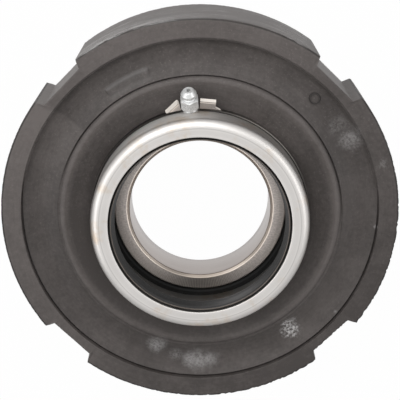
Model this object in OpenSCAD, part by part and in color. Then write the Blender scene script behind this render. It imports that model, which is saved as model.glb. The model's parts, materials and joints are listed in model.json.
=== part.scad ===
// Driveshaft centre bearing: a sealed wide ball bearing in a moulded rubber cushion.
// The bearing axis is Z, the front face is up, and the origin is the middle of the shaft bore.

/* [Rubber cushion] */
// Outside diameter of the cushion
cushion_d = 166; // [160:0.5:176]
// Width over the outer edges of the two rim bands
cushion_w = 40; // [38:0.5:46]
// Radial width of a rim band
band_w = 8.2; // [7:0.1:9]
// Fall of a rim band towards its inner edge
band_fall = 1; // [0.5:0.1:1.5]
// Width of the groove inside a rim band
groove_w = 0.3; // [0.2:0.1:0.8]
// Depth of that groove below the outer edge of the recess
groove_depth = 1.4; // [1:0.1:2]
// Step from a rim band down to the outer edge of the recess
recess_step = 1.5; // [1:0.1:2]
// Depth of the inner edge of the recess below the rim
recess_depth = 2.4; // [2:0.1:3]
// Sag of the dished recess below its two edges
recess_sag = 2.1; // [1.5:0.1:2.5]
// Outside diameter of the raised bead around the hub
bead_d = 118.6; // [116:0.2:121]
// Radius of that bead
bead_r = 2; // [1.5:0.1:2.4]
// Depth of the bead's crest below the rim
bead_depth = 1.7; // [1.2:0.1:2.2]
// Width of the crevice outside the bead
crevice_w = 0.4; // [0.3:0.1:0.8]
// Depth of the hub face at the sleeve below the rim
hub_depth = 5; // [4:0.1:6]

/* [Locating notches] */
// Angles of the four notches
notch_at = [46.1, 135.4, 225.2, 316]; // [0:0.1:360]
// Width of a notch at its mouth
notch_w = 25; // [20:0.5:28]
// Depth of a notch
notch_depth = 4.5; // [3:0.1:5.5]
// Slope of the notch flanks, sideways over inward
notch_flare = 0.45; // [0:0.05:0.6]

/* [Bearing rings] */
// Bore for the shaft
bore_d = 60; // [58:0.5:61]
// Width of the inner ring
inner_w = 20; // [18:0.5:22]
// Radial wall of the inner ring at its shoulders
inner_wall = 6.2; // [5.8:0.1:6.6]
// Radial gap between the shoulders of the two rings
shoulder_gap = 3.6; // [3.4:0.1:4]
// Radial wall of the outer ring at its shoulders
outer_wall = 5.2; // [4.8:0.1:6]
// Chamfer on the inner ring's bore
bore_chamfer = 1.1; // [0.5:0.1:1.5]
// How far the outer ring stands out of the cushion in front
front_stand = 13; // [12:0.5:15]
// How far the outer ring stands out of the cushion behind
rear_stand = 4; // [3:0.5:6]
// Rounding of the outer ring's ends
outer_round = 3.8; // [2:0.1:4]
// Radial step from the grease space in to the mouth that holds a dust seal
mouth_step = 2.3; // [2:0.1:2.6]
// Depth of that mouth
mouth_depth = 9; // [8.6:0.1:10]

/* [Balls and cage] */
// Diameter of a ball
ball_d = 8.731; // [8:0.001:9]
// Number of balls
ball_count = 14; // [12:1:14]
// Groove radius as a share of the ball diameter
conformity = 0.52; // [0.51:0.005:0.54]
// Gap between a ball and each groove bottom
ball_play = 0.02; // [0.01:0.005:0.05]
// Thickness of the cage sheet
cage_t = 0.8; // [0.6:0.05:1]
// Diameter of a cage rivet
rivet_d = 1.6; // [1.2:0.1:1.8]

/* [Seals] */
// Thickness of a bearing seal
bearing_seal_t = 1.6; // [1.2:0.1:1.8]
// Gap between a bearing seal and the inner ring
seal_gap = 0.3; // [0.2:0.05:0.4]
// Width of a dust seal
dust_w = 8; // [7:0.1:8]
// Wall of a dust seal's steel case
case_t = 0.8; // [0.5:0.1:1]
// How far a dust seal's lip reaches in past the inner ring's shoulder
lip_reach = 1; // [0.6:0.1:1.4]

/* [Cushion sleeve] */
// Wall of the sleeve
sleeve_t = 0.8; // [0.6:0.1:1.2]
// Set-back of the sleeve's ends from the rim bands
sleeve_setback = 1; // [0.5:0.1:2]
// Height of the turned-up tabs above the outer ring
tab_h = 5; // [4:0.1:5.5]
// Width of the left tab's turned edge
left_edge = 1.6; // [1:0.1:2]
// Width of the right tab's turned edge
right_edge = 1; // [0.8:0.1:1.6]
// Angle by which those edges are turned back
tab_bend = 75; // [60:1:90]
// Angle by which the tabs lean out of the sleeve's edge
tab_lean = 35; // [25:1:40]

/* [Grease nipple] */
// Angle of the nipple around the axis
nipple_at = 94.9; // [90:0.1:100]
// Forward lean of the nipple from the radius
nipple_lean = 30; // [20:1:40]
// Height of the hexagon's seat above the outer ring, on the nipple's axis
nipple_rise = 2.5; // [2.4:0.1:3]
// Distance of that seat behind the cushion's front
nipple_setback = 0.2; // [0:0.1:0.5]
// Height of the nipple above its seat
nipple_h = 8.6; // [8.4:0.1:9.4]
// Hexagon across flats
hex_af = 7; // [6:0.5:8]
// Height of the hexagon
hex_h = 4.4; // [4:0.1:4.6]
// Thread diameter
thread_d = 6; // [5:0.5:6]
// Length of the thread below the seat
thread_l = 8.4; // [7:0.1:8.8]
// Diameter of the nipple's head
head_d = 6.4; // [6:0.1:6.8]
// Diameter of the check ball
check_d = 2.3; // [2:0.1:2.4]

/* [Hidden] */
$fn = 96;
eps = 0.01;
fit = 0.02;
// Length by which a cutting shape reaches past what it cuts
past = 1;

half_w = cushion_w / 2;
rim_r = cushion_d / 2;
rim_chamfer = 0.6;
band_r = rim_r - band_w;
bead_out = bead_d / 2;
bead_at = bead_out - bead_r;
bead_z = half_w - bead_depth - bead_r;
bead_from = 125;
bead_steps = 10;
crevice_depth = 1.4;
recess_steps = 10;
recess_in = bead_out + crevice_w;
recess_out = band_r - groove_w;
recess_out_depth = band_fall + recess_step;
recess_mid_depth = (recess_depth + recess_out_depth) / 2 + recess_sag;

pad_r = 63.1;
pad_w = 5;
pad_h = 1.1;
pad_from = 108.7;
pad_sweep = 17.3;
pip_r = 68.2;
pip_at = 46.7;
pip_d = 4.4;
pip_rim = 0.6;
pip_h = 0.9;
pip_dip = 0.35;
mark_root = 2;

bore_r = bore_d / 2;
inner_shoulder_r = bore_r + inner_wall;
outer_shoulder_r = inner_shoulder_r + shoulder_gap;
outer_r = outer_shoulder_r + outer_wall;
outer_front = half_w + front_stand;
outer_rear = half_w + rear_stand;
mouth_r = outer_shoulder_r - mouth_step;
ring_break = 0.5;
round_steps = 12;

pitch_r = inner_shoulder_r + shoulder_gap / 2;
ball_r = ball_d / 2;
ball_step = 360 / ball_count;
race_r = conformity * ball_d;
inner_race_at = pitch_r - ball_r - ball_play + race_r;
outer_race_at = pitch_r + ball_r + ball_play - race_r;

pocket_play = 0.12;
pocket_r = ball_r + pocket_play;
cage_gap = 0.45;
cage_in = inner_shoulder_r + cage_gap;
cage_out = outer_shoulder_r - cage_gap;
rivet_head_lap = 0.4;
rivet_head_d = rivet_d + 2 * rivet_head_lap;
rivet_head_h = 0.5;

bearing_seal_setback = 0.8;
bearing_seal_z = inner_w / 2 - bearing_seal_setback - bearing_seal_t;
seal_groove_depth = 0.9;
seal_lip_w = 0.8;
seal_lip_step = 0.4;
dust_setback = 0.5;
case_flange = 0.7;
case_corner = 0.5;
case_taper = 1.2;
lip_t = 0.5;
lip_edge = 0.3;
lip_lead = 1.7;

sleeve_in = outer_r + fit;
sleeve_out = sleeve_in + sleeve_t;
cushion_in = sleeve_out + fit;
sleeve_end = half_w - sleeve_setback;
lead_in_l = 1.4;
lead_in_t = sleeve_t / 2;
slot_half = 4.6;
slot_from = nipple_at - slot_half;
slot_to = nipple_at + slot_half;
slot_depth = 4.5;
tab_setback = 0.3;
tab_root_r = sleeve_in + sleeve_t / 2;
tab_top_r = outer_r + tab_h;
tab_z = sleeve_end - tab_setback - sleeve_t;
tab_reach = (tab_top_r - tab_root_r) / cos(tab_lean);
right_tab_w = 6.4;
right_flare = 3.6;
left_tab_w = 5.8;

nipple_seat = outer_r + nipple_rise;
nipple_z = half_w - nipple_setback;
thread_lead = 0.6;
thread_relief = 0.5;
hex_foot = 0.4;
hex_crown = 0.7;
neck_r = 2.5;
neck_fillet = 0.4;
head_l = 3.2;
head_rise = 0.8;
head_land = 0.7;
end_r = 2;
end_round = 0.35;
bore_in_nipple = 2.6;
spring_seat = 0.9;
tip_hole_d = 1.7;
tip_l = 1.4;
check_z = nipple_h - tip_l - sqrt(pow(check_d / 2, 2) - pow(tip_hole_d / 2, 2)) - fit;
spring_r = 0.85;
spring_wire = 0.28;
spring_turns = 7;

function polar(r, a) = [r * cos(a), r * sin(a)];
// The same section behind the middle plane, in the order that closes it
function behind(front) = [for (i = [len(front) - 1:-1:0]) [front[i][0], -front[i][1]]];
function ball_name(i) = str("ball_", i < 10 ? "0" : "", i);

// Puts children on the nipple: their Z is the nipple's own axis and their origin its seat
module on_nipple() {
    rotate([0, 0, nipple_at])
        translate([nipple_seat, 0, nipple_z])
            rotate([0, 90 - nipple_lean, 0])
                children();
}

// A point on the dished floor of the recess, from the crevice out to the groove
function recess_point(k) = let (s = k / recess_steps) [
    recess_in + (recess_out - recess_in) * s,
    half_w - recess_depth * (1 - s) - recess_out_depth * s - recess_sag * sin(180 * s)
];

// Front half of the cushion's section, from the sleeve over the bead and out to the rim
function cushion_section_front() = let (
    crevice_z = half_w - recess_depth - crevice_depth,
    groove_z = half_w - recess_out_depth - groove_depth,
    bead_to = asin((crevice_z - bead_z) / bead_r),
    bead_step = (bead_to - bead_from) / bead_steps
) concat(
    [[cushion_in, half_w - hub_depth]],
    [for (k = [0:bead_steps]) [bead_at, bead_z] + polar(bead_r, bead_from + k * bead_step)],
    [[recess_in, crevice_z]],
    [for (k = [0:recess_steps]) recess_point(k)],
    [
        [recess_out, groove_z],
        [band_r, groove_z],
        [band_r, half_w - band_fall - rim_chamfer],
        [band_r + rim_chamfer, half_w - band_fall],
        [rim_r - rim_chamfer, half_w],
        [rim_r, half_w - rim_chamfer]
    ]
);

// Prism that cuts one notch through the full width of the rim
module notch() {
    floor_half = notch_w / 2 - notch_flare * notch_depth;
    mouth_half = notch_w / 2 + notch_flare * past;
    translate([0, 0, -half_w - past])
        linear_extrude(cushion_w + 2 * past)
            polygon([
                [rim_r - notch_depth, -floor_half],
                [rim_r + past, -mouth_half],
                [rim_r + past, mouth_half],
                [rim_r - notch_depth, floor_half]
            ]);
}

module rubber_cushion() {
    mark_z = half_w - recess_mid_depth - mark_root;
    color([0.17, 0.165, 0.165]) {
        difference() {
            rotate_extrude()
                polygon(concat(cushion_section_front(), behind(cushion_section_front())));
            for (a = notch_at)
                rotate([0, 0, a])
                    notch();
        }
        // Blank raised pad in the recess
        rotate([0, 0, pad_from])
            rotate_extrude(angle = pad_sweep)
                translate([pad_r - pad_w / 2, mark_z])
                    square([pad_w, mark_root + pad_h]);
        // Ring left by an ejector, with a shallow dip inside it
        translate([pip_r * cos(pip_at), pip_r * sin(pip_at), mark_z])
            difference() {
                cylinder(d = pip_d, h = mark_root + pip_h);
                translate([0, 0, mark_root + pip_h - pip_dip])
                    cylinder(d = pip_d - 2 * pip_rim, h = pip_dip + past);
            }
    }
}

// Puts children on the sleeve's edge at an angle: X runs along the edge, Y up the leaning tab
module on_tab(at) {
    rotate([0, 0, at - 90])
        translate([0, tab_root_r, tab_z])
            rotate([tab_lean, 0, 0])
                children();
}

// Edge of a tab, turned back over a width from the line between two points of the plate
module turned_edge(from, to, width) {
    run = to - from;
    lap = sleeve_t / 2;
    translate([from[0], from[1], 0])
        rotate([0, 0, atan2(run[1], run[0])])
            rotate([-tab_bend, 0, 0])
                translate([0, -lap, 0])
                    cube([norm(run), width + lap, sleeve_t]);
}

// Plate turned up to the right of the nipple, flared at its foot
module right_tab() {
    top = tab_reach - sleeve_t;
    on_tab(slot_from - right_tab_w / 2 / outer_r * 180 / PI) {
        linear_extrude(sleeve_t)
            polygon([
                [-right_tab_w / 2, -sleeve_t],
                [right_tab_w / 2 + right_flare, -sleeve_t],
                [right_tab_w / 2 + right_flare / 2, top / 4],
                [right_tab_w / 2, top / 2],
                [right_tab_w / 2, top - sleeve_t / 4],
                [-right_tab_w / 2, top]
            ]);
        turned_edge([-right_tab_w / 2, top], [right_tab_w / 2, top - sleeve_t / 4], right_edge);
    }
}

// Plate turned up to the left of the nipple, with its sloping edge turned back
module left_tab() {
    foot = [-left_tab_w / 2, 0];
    high = [left_tab_w / 2, tab_reach - sleeve_t];
    on_tab(slot_to + left_tab_w / 2 / outer_r * 180 / PI) {
        linear_extrude(sleeve_t)
            polygon([[-left_tab_w / 2, -sleeve_t], [left_tab_w / 2, -sleeve_t], high, foot]);
        turned_edge(foot, high, left_edge);
    }
}

// Cone that eases the inner edge of the sleeve's front end
module lead_in() {
    grow = lead_in_t / lead_in_l;
    translate([0, 0, sleeve_end - lead_in_l])
        cylinder(r1 = sleeve_in - eps, r2 = sleeve_in + lead_in_t + grow * past, h = lead_in_l + past);
}

module cushion_sleeve() {
    slot_in = outer_r - past;
    slot_out = sleeve_out + past;
    color([0.62, 0.6, 0.57])
        difference() {
            union() {
                translate([0, 0, -sleeve_end])
                    cylinder(r = sleeve_out, h = 2 * sleeve_end);
                right_tab();
                left_tab();
            }
            translate([0, 0, -sleeve_end - past])
                cylinder(r = sleeve_in, h = 2 * (sleeve_end + past));
            lead_in();
            mirror([0, 0, 1])
                lead_in();
            // Slot in the front edge that the nipple stands in
            translate([0, 0, sleeve_end - slot_depth])
                linear_extrude(slot_depth + past)
                    polygon([
                        polar(slot_in, slot_from),
                        polar(slot_out, slot_from),
                        polar(slot_out, slot_to),
                        polar(slot_in, slot_to)
                    ]);
        }
}

// Section of the outer ring towards one end, from the shoulder round to the outside
function outer_section(end) = let (
    corner = [outer_r - outer_round, end - outer_round]
) concat(
    [
        [outer_shoulder_r, end - mouth_depth],
        [mouth_r, end - mouth_depth],
        [mouth_r, end - ring_break],
        [mouth_r + ring_break, end]
    ],
    [for (k = [0:round_steps]) corner + polar(outer_round, 90 * (1 - k / round_steps))]
);

// Groove that holds the rim of a bearing seal
module seal_groove() {
    translate([0, 0, bearing_seal_z - fit])
        cylinder(r = outer_shoulder_r + seal_groove_depth + fit, h = bearing_seal_t + 2 * fit);
}

module outer_ring() {
    color([0.8, 0.79, 0.77])
        difference() {
            rotate_extrude()
                polygon(concat(outer_section(outer_front), behind(outer_section(outer_rear))));
            rotate_extrude()
                translate([outer_race_at, 0])
                    circle(r = race_r);
            seal_groove();
            mirror([0, 0, 1])
                seal_groove();
            on_nipple()
                translate([0, 0, -thread_l - thread_d])
                    cylinder(d = thread_d + 2 * fit, h = thread_l + thread_d);
        }
}

module inner_ring() {
    end = inner_w / 2;
    color([0.66, 0.64, 0.62])
        difference() {
            rotate_extrude()
                polygon([
                    [bore_r, bore_chamfer - end],
                    [bore_r + bore_chamfer, -end],
                    [inner_shoulder_r - ring_break, -end],
                    [inner_shoulder_r, ring_break - end],
                    [inner_shoulder_r, end - ring_break],
                    [inner_shoulder_r - ring_break, end],
                    [bore_r + bore_chamfer, end],
                    [bore_r, end - bore_chamfer]
                ]);
            rotate_extrude()
                translate([inner_race_at, 0])
                    circle(r = race_r);
        }
}

module ball(i) {
    color([0.85, 0.85, 0.86])
        rotate([0, 0, 90 + (i - 1) * ball_step])
            translate([pitch_r, 0, 0])
                sphere(r = ball_r);
}

// One pressed half of the ribbon cage: flat webs joined by domed pockets
module cage_half() {
    color([0.72, 0.68, 0.56])
        difference() {
            intersection() {
                union() {
                    cylinder(r = cage_out, h = cage_t);
                    for (i = [1:ball_count])
                        rotate([0, 0, 90 + (i - 1) * ball_step])
                            translate([pitch_r, 0, 0])
                                sphere(r = pocket_r + cage_t);
                }
                difference() {
                    cylinder(r = cage_out, h = ball_d);
                    translate([0, 0, -past])
                        cylinder(r = cage_in, h = ball_d + 2 * past);
                }
            }
            for (i = [1:ball_count]) {
                rotate([0, 0, 90 + (i - 1) * ball_step])
                    translate([pitch_r, 0, 0])
                        sphere(r = pocket_r);
                rotate([0, 0, 90 + (i - 0.5) * ball_step])
                    translate([pitch_r, 0, -past])
                        cylinder(d = rivet_d + 2 * fit, h = cage_t + 2 * past);
            }
        }
}

module cage_front() {
    cage_half();
}

module cage_rear() {
    mirror([0, 0, 1])
        cage_half();
}

module cage_rivets() {
    color([0.6, 0.58, 0.52])
        for (i = [1:ball_count])
            rotate([0, 0, 90 + (i - 0.5) * ball_step])
                translate([pitch_r, 0, 0]) {
                    translate([0, 0, -cage_t])
                        cylinder(d = rivet_d, h = 2 * cage_t);
                    for (side = [-1, 1])
                        translate([0, 0, side * (cage_t + rivet_head_h / 2)])
                            cylinder(d = rivet_head_d, h = rivet_head_h, center = true);
                }
}

// Rubber-faced ring that closes the space between the two bearing rings
module bearing_seal() {
    seal_in = inner_shoulder_r + seal_gap;
    seal_out = outer_shoulder_r + seal_groove_depth;
    z0 = bearing_seal_z;
    z1 = bearing_seal_z + bearing_seal_t;
    color([0.06, 0.06, 0.06])
        rotate_extrude()
            polygon([
                [seal_in, z0 + seal_lip_step],
                [seal_in + seal_lip_w, z0],
                [seal_out, z0],
                [seal_out, z1],
                [seal_in + 2 * seal_lip_w, z1],
                [seal_in + seal_lip_w, z1 - seal_lip_step],
                [seal_in, z1]
            ]);
}

module front_bearing_seal() {
    bearing_seal();
}

module rear_bearing_seal() {
    mirror([0, 0, 1])
        bearing_seal();
}

// Steel case of a dust seal near one end: a cylinder with a flange turned in at its inner side
module dust_case(end) {
    z0 = end - dust_setback - dust_w;
    z1 = end - dust_setback;
    case_out = mouth_r - fit;
    case_in = case_out - case_t;
    flange_in = case_in - case_flange;
    color([0.45, 0.44, 0.43])
        rotate_extrude()
            polygon([
                [flange_in, z0],
                [case_out - case_corner, z0],
                [case_out, z0 + case_corner],
                [case_out, z1 - case_taper],
                [case_out - case_taper / 2, z1],
                [case_in, z1],
                [case_in, z0 + case_t],
                [flange_in, z0 + case_t]
            ]);
}

// Rubber of a dust seal: a cone from the case's outer edge to the lip that runs on the shaft's shoulder
module dust_lip(end) {
    z0 = end - dust_setback - dust_w;
    z1 = end - dust_setback - lip_edge;
    bond_r = mouth_r - fit - case_t - fit;
    lip_r = inner_shoulder_r - lip_reach;
    color([0.13, 0.13, 0.13])
        rotate_extrude()
            polygon([
                [bond_r, z0 + case_t + fit],
                [bond_r, z1],
                [bond_r - lip_t / 2, z1],
                [lip_r, z0 + lip_lead + lip_edge],
                [lip_r, z0 + lip_lead],
                [lip_r + lip_t, z0 + case_t + fit]
            ]);
}

module front_dust_case() {
    dust_case(outer_front);
}

module front_dust_lip() {
    dust_lip(outer_front);
}

module rear_dust_case() {
    mirror([0, 0, 1])
        dust_case(outer_rear);
}

module rear_dust_lip() {
    mirror([0, 0, 1])
        dust_lip(outer_rear);
}

// Hexagon of the nipple, eased at its corners above and below
module nipple_hexagon() {
    flat_r = hex_af / 2;
    intersection() {
        cylinder(r = flat_r / cos(30), h = hex_h, $fn = 6);
        rotate_extrude()
            polygon([
                [0, 0],
                [flat_r - eps, 0],
                [flat_r + hex_crown, hex_foot],
                [flat_r + hex_crown, hex_h - hex_foot],
                [flat_r - hex_foot, hex_h],
                [0, hex_h]
            ]);
    }
}

module grease_nipple() {
    head_r = head_d / 2;
    head_from = nipple_h - head_l;
    thread_r = thread_d / 2;
    stem_r = neck_r + neck_fillet;
    color([0.84, 0.83, 0.8])
        on_nipple()
            difference() {
                union() {
                    nipple_hexagon();
                    rotate_extrude()
                        polygon([
                            [0, -thread_l],
                            [thread_r - thread_lead, -thread_l],
                            [thread_r, thread_lead - thread_l],
                            [thread_r, -2 * thread_relief],
                            [thread_r - thread_relief, -thread_relief],
                            [thread_r - thread_relief, eps],
                            [stem_r, eps],
                            [stem_r, hex_h + neck_fillet],
                            [neck_r, hex_h + 2 * neck_fillet],
                            [neck_r, head_from],
                            [head_r, head_from + head_rise],
                            [head_r, head_from + head_rise + head_land],
                            [end_r + end_round, nipple_h - end_round],
                            [end_r, nipple_h],
                            [0, nipple_h]
                        ]);
                }
                translate([0, 0, spring_seat])
                    cylinder(d = bore_in_nipple, h = nipple_h - tip_l - spring_seat);
                translate([0, 0, -thread_l - past])
                    cylinder(d = tip_hole_d, h = nipple_h + thread_l + 2 * past);
            }
}

module nipple_check_ball() {
    color([0.5, 0.5, 0.52])
        on_nipple()
            translate([0, 0, check_z])
                sphere(r = check_d / 2);
}

// Helix of the valve spring, closed by a flat face at each end of its wire
module nipple_spring() {
    sides = 8;
    steps_per_turn = 12;
    steps = steps_per_turn * spring_turns;
    low = spring_seat + spring_wire / 2 + fit;
    high = check_z - check_d / 2 - spring_wire / 2 - fit;
    ring = [for (k = [0:steps], s = [0:sides - 1])
        let (
            turn = 360 * spring_turns * k / steps,
            side = 360 * s / sides,
            r = spring_r + spring_wire / 2 * cos(side),
            z = low + (high - low) * k / steps + spring_wire / 2 * sin(side)
        )
        [r * cos(turn), r * sin(turn), z]];
    walls = [for (k = [0:steps - 1], s = [0:sides - 1])
        let (t = (s + 1) % sides)
        [k * sides + s, (k + 1) * sides + s, (k + 1) * sides + t, k * sides + t]];
    caps = [
        [for (s = [0:sides - 1]) s],
        [for (s = [0:sides - 1]) (steps + 1) * sides - 1 - s]
    ];
    color([0.55, 0.55, 0.55])
        on_nipple()
            polyhedron(points = ring, faces = concat(walls, caps));
}

rubber_cushion();
cushion_sleeve();
outer_ring();
inner_ring();
for (i = [1:ball_count]) {
    ball(i);
}
cage_front();
cage_rear();
cage_rivets();
front_bearing_seal();
rear_bearing_seal();
front_dust_case();
front_dust_lip();
rear_dust_case();
rear_dust_lip();
grease_nipple();
nipple_check_ball();
nipple_spring();
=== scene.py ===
"""Driveshaft centre bearing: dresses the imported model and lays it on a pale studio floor."""

import json
import math
from types import SimpleNamespace

import bmesh
import bpy
from mathutils import Matrix, Vector, noise


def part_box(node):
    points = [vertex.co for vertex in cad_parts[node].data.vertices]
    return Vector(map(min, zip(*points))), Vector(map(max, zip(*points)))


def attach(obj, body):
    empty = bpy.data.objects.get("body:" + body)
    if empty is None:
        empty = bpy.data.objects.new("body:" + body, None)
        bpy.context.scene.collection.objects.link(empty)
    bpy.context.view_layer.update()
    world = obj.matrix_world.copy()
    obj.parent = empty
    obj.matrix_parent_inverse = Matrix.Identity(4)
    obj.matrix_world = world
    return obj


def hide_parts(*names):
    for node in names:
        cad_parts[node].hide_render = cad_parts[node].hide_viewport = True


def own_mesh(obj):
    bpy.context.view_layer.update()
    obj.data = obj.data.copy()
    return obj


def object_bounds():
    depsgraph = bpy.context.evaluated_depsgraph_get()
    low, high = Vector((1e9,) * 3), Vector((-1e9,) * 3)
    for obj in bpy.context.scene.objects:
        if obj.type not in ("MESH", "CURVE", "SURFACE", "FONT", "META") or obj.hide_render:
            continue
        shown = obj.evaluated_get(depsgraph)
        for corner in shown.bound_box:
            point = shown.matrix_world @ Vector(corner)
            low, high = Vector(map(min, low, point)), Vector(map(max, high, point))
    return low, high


bl_info = {
    "name": "Driveshaft centre bearing",
    "version": (1, 0, 0),
    "blender": (4, 5, 0),
    "location": "3D View > Sidebar > Centre bearing",
    "description": "Builds the cushion, the turned rings, the seals and the studio of a centre bearing",
    "category": "Object",
}

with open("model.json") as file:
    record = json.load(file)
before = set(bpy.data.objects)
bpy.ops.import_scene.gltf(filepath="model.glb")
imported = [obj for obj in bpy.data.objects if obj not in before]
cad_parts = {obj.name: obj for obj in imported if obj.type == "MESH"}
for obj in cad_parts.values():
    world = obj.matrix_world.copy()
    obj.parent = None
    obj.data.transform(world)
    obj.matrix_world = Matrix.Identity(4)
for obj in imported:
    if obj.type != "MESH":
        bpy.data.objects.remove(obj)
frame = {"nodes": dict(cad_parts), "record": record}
CAD_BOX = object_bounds()

MM = 0.001
CUSHION_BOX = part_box("rubber_cushion")
OUTER_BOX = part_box("outer_ring")
INNER_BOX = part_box("inner_ring")
SLEEVE_WALL = -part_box("cushion_sleeve")[0].x
LIP_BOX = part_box("front_dust_lip")
SHAFT_BORE = next(m for m in frame["record"]["mounts"] if m["name"] == "shaft_bore")


# Sizes and colours that a user would change

def length(text, default):
    """A length property, stored in metres."""
    return bpy.props.FloatProperty(description=text, default=default, unit="LENGTH", precision=5)


def angle(text, degrees):
    """An angle property, given in degrees."""
    return bpy.props.FloatProperty(description=text, default=math.radians(degrees), subtype="ANGLE")


def share(text, default):
    """A plain number between nothing and one."""
    return bpy.props.FloatProperty(description=text, default=default, min=0.0, max=1.0)


def colour(text, default):
    """A colour property."""
    return bpy.props.FloatVectorProperty(
        description=text, default=default, size=3, min=0.0, max=1.0, subtype="COLOR"
    )


def watts(text, default):
    """Power of a lamp."""
    return bpy.props.FloatProperty(description=text, default=default, min=0.0, unit="POWER")


class CushionSettings(bpy.types.PropertyGroup):
    """Sizes and colours of the moulded rubber cushion."""

    rim: length("Outside radius of the cushion", -CUSHION_BOX[0].x)
    half_width: length("Half of the width over the two rim bands", CUSHION_BOX[1].z)
    hub: length("Radius where the rubber meets the sleeve", 45.84 * MM)
    band: length("Radial width of the rim band", 8.2 * MM)
    band_fall: length("Fall of the rim band towards its inner edge", 1.0 * MM)
    groove_width: length("Width of the groove inside the band", 0.3 * MM)
    groove_depth: length("Depth of that groove below the edge of the recess", 1.4 * MM)
    recess_step: length("Step from the band down to the edge of the recess", 1.5 * MM)
    recess_depth: length("Depth of the recess's inner edge below the rim", 2.4 * MM)
    recess_sag: length("Sag of the dished recess below its edges", 2.1 * MM)
    crevice: length("Width of the crevice outside the bead", 0.4 * MM)
    crevice_depth: length("Depth of that crevice below the recess", 1.4 * MM)
    hub_depth: length("Depth of the hub face at the sleeve", 5.0 * MM)
    bead_outside: length("Outside radius of the raised bead", 59.3 * MM)
    bead_round: length("Radius of the bead's section", 2.0 * MM)
    bead_depth: length("Depth of the bead's crest below the rim", 1.7 * MM)
    edge_round: length("Rounding of the rim's edges", 0.4 * MM)
    ragged: length("How far the mould flash eats into the rim's edge", 0.5 * MM)
    rubber: colour("Colour of clean rubber", (0.058, 0.0505, 0.0475))
    # The worn colour also stands for painted light and shade on the cushion.
    wear_and_light: colour("Colour of rubbed and dusty rubber", (0.172, 0.153, 0.146))
    chalk: colour("Colour of the pale smudges", (0.58, 0.565, 0.56))


class RingSettings(bpy.types.PropertyGroup):
    """Sizes and colours of the two bearing rings."""

    outside: length("Outside radius of the outer ring", OUTER_BOX[1].x)
    front: length("Height of the outer ring's front end", OUTER_BOX[1].z)
    rear: length("Distance of the outer ring's rear end behind the middle plane", -OUTER_BOX[0].z)
    corner: length("Rounding of the outer ring's ends", 3.8 * MM)
    mouth: length("Radius of the mouth that holds a dust seal", 37.5 * MM)
    mouth_depth: length("Depth of that mouth", 9.0 * MM)
    cavity: length("Radius of the grease space behind the mouth", 39.8 * MM)
    race_depth: length("Depth of the ball groove in each ring", 2.4 * MM)
    race_half: length("Half of the ball groove's width", 3.9 * MM)
    bore: length("Radius of the shaft bore", SHAFT_BORE["dims"]["r_mm"] * MM)
    shoulder: length("Outside radius of the inner ring", INNER_BOX[1].x)
    inner_half: length("Half of the inner ring's width", INNER_BOX[1].z)
    chamfer: length("Chamfer at each end of the bore", 1.1 * MM)
    turned: colour("Colour of the turned outer ring", (0.638, 0.617, 0.597))
    ground: colour("Colour of the inner ring's ground bore", (0.56, 0.525, 0.51))
    face: colour("Colour of the inner ring's lapped end face", (0.86, 0.78, 0.73))
    # The chamfers' colour is lighter than the bore's, as a painted highlight.
    chamfer_highlight: colour("Colour of the chamfers in the bore", (0.70, 0.62, 0.55))


class StageSettings(bpy.types.PropertyGroup):
    """Camera, lamps and floor."""

    distance: length("Distance from the camera to the cushion's front plane", 463.2 * MM)
    lean: angle("Angle between the view and the bearing's axis", 18.653)
    aim: length("Point on the front plane that the view is centred on, towards the nipple", 7.5 * MM)
    lens: bpy.props.FloatProperty(description="Focal length on a 36 mm sensor, in millimetres", default=99.9)
    floor_size: length("Side of the square floor", 6.0)
    floor_glow: share("How far the floor shows as plain white to the camera", 0.985)
    ambient: share("Light of the room on matt surfaces", 0.14)
    horizon: share("Light that polished metal sees low down in the room", 0.6)
    key_power: watts("Power of the wide lamp above the nipple's side", 7.2)
    left_power: watts("Power of the lamp on the left", 2.6)
    right_power: watts("Power of the lamp on the right", 2.6)


# Mesh helpers

def polar(radius, degrees, height=0.0):
    """A place at a radius and an angle round the bearing's axis."""
    turn = math.radians(degrees)
    return (radius * math.cos(turn), radius * math.sin(turn), height)


def mesh_object(name, verts, faces, sharp_degrees=32.0):
    """Object with outward normals, smooth but for its sharp edges."""
    mesh = bpy.data.meshes.new(name)
    mesh.from_pydata(verts, [], faces)
    shell = bmesh.new()
    shell.from_mesh(mesh)
    bmesh.ops.recalc_face_normals(shell, faces=shell.faces)
    shell.to_mesh(mesh)
    shell.free()
    mesh.shade_smooth()
    mesh.set_sharp_from_angle(angle=math.radians(sharp_degrees))
    obj = bpy.data.objects.new(name, mesh)
    bpy.context.scene.collection.objects.link(obj)
    return obj


def arc(centre, radius, start, end, steps):
    """Points on an arc in the section plane, from one angle in degrees to another."""
    turns = (math.radians(start + (end - start) * k / steps) for k in range(steps + 1))
    return [(centre[0] + radius * math.cos(t), centre[1] + radius * math.sin(t)) for t in turns]


def mirrored(outline):
    """The same section behind the middle plane, in the order that closes it."""
    return [(r, -z) for r, z in reversed(outline)]


def fan_faces(columns, count):
    """Faces between neighbouring columns all the way round, each column a closed loop of points."""
    faces = []
    for i in range(columns):
        here = i * count
        there = (i + 1) % columns * count
        for k in range(count):
            n = (k + 1) % count
            faces.append((here + k, there + k, there + n, here + n))
    return faces


def revolve(name, outline, segments=288):
    """A closed outline of (radius, height) turned round the bearing's axis."""
    verts = []
    for i in range(segments):
        turn = math.tau * i / segments
        verts += [(r * math.cos(turn), r * math.sin(turn), z) for r, z in outline]
    return mesh_object(name, verts, fan_faces(segments, len(outline)))


def place(piece, body, slot, material, *nodes):
    """Gives a piece its material and lets it stand for CAD nodes on a body."""
    piece.data.materials.clear()
    piece.data.materials.append(material)
    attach(piece, body)
    if nodes:
        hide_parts(*nodes)


def dress(node, material):
    """Puts a finished material on a CAD node that is shown as it is."""
    slots = frame["nodes"][node].material_slots
    if not slots:
        raise RuntimeError(f"{node} has no material slot")
    for holder in slots:
        holder.material = material


# Shader helpers

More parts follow.
